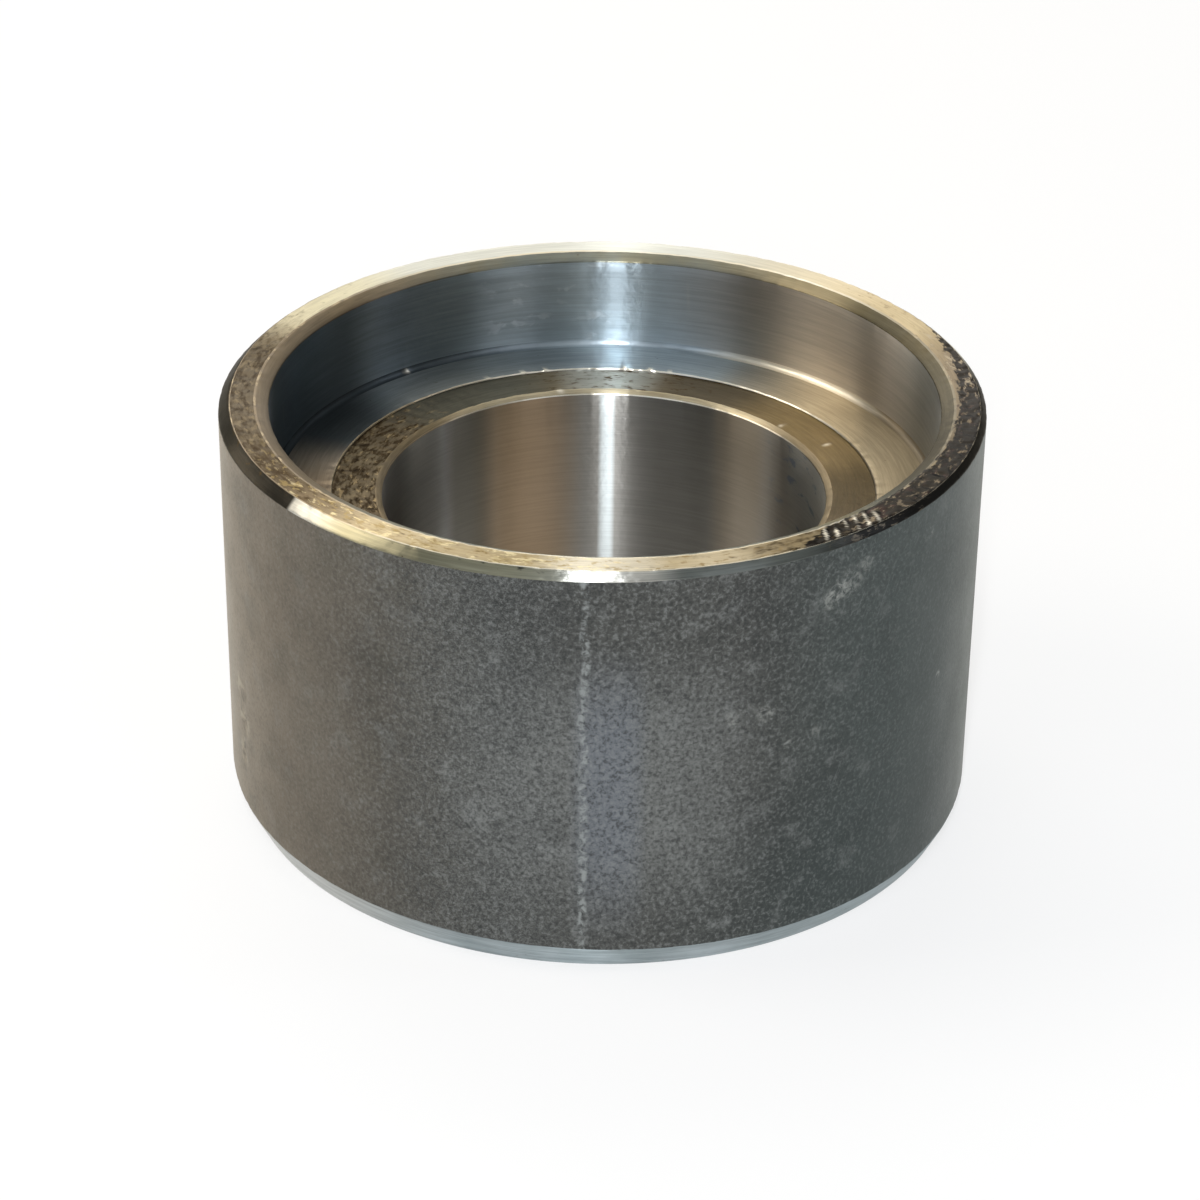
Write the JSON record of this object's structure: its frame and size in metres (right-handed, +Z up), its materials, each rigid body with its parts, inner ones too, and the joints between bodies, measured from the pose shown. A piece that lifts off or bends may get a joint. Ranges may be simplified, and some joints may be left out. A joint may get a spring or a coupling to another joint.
{
  "type": "weld-on bushing",
  "caption": "Thick turned steel ring with a pipe socket in its upper face, a seat, a through bore and a weld bevel round its foot.",
  "frame": {"origin": "centre of the foot's flat face, on the axis of the outer skin", "axes": "+Z up along the bore, towards the socket's mouth"},
  "size_m": [0.1016, 0.1016, 0.058],
  "materials": {
    "steel": "mill scale on the outer skin, bare turned steel on the rim, socket, bore and weld bevel"
  },
  "bodies": {
    "root": {"bushing": "steel"}
  },
  "joints": []
}
